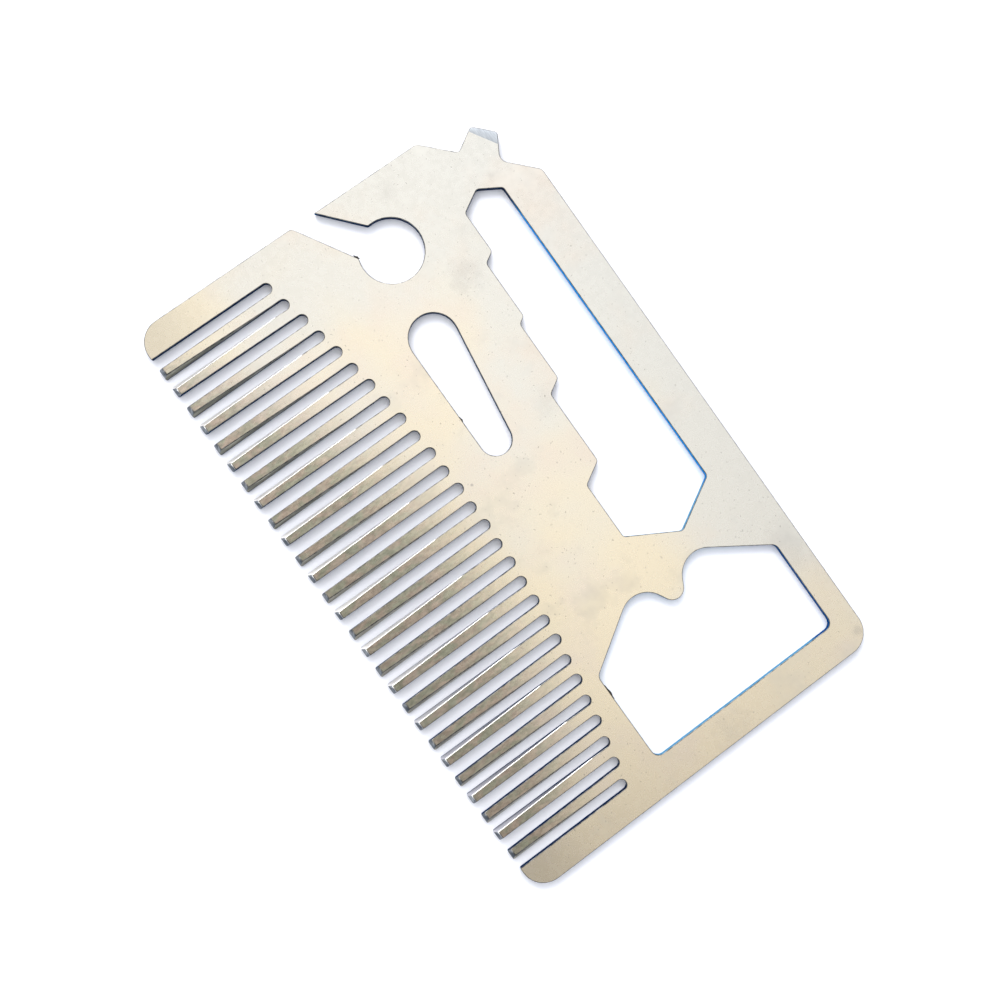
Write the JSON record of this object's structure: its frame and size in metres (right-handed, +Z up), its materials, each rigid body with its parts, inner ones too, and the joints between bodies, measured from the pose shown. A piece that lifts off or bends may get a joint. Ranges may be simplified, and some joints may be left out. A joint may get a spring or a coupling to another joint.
{
  "type": "card comb",
  "caption": "Card-sized flat steel pocket comb for beards, with a stepped nut spanner, bottle opener, tapered slot, cord hook and driver tip.",
  "frame": {"origin": "middle of the underside of the card's rectangle", "axes": "+Z up out of the sheet's top face, +X along the long side away from the hooked short edge, teeth point to -Y"},
  "size_m": [0.0856, 0.054, 0.001],
  "materials": {
    "stainless_sheet": "fine satin, slightly warm, with bright broken edges"
  },
  "bodies": {
    "root": {"comb_plate": "stainless_sheet"}
  },
  "joints": []
}
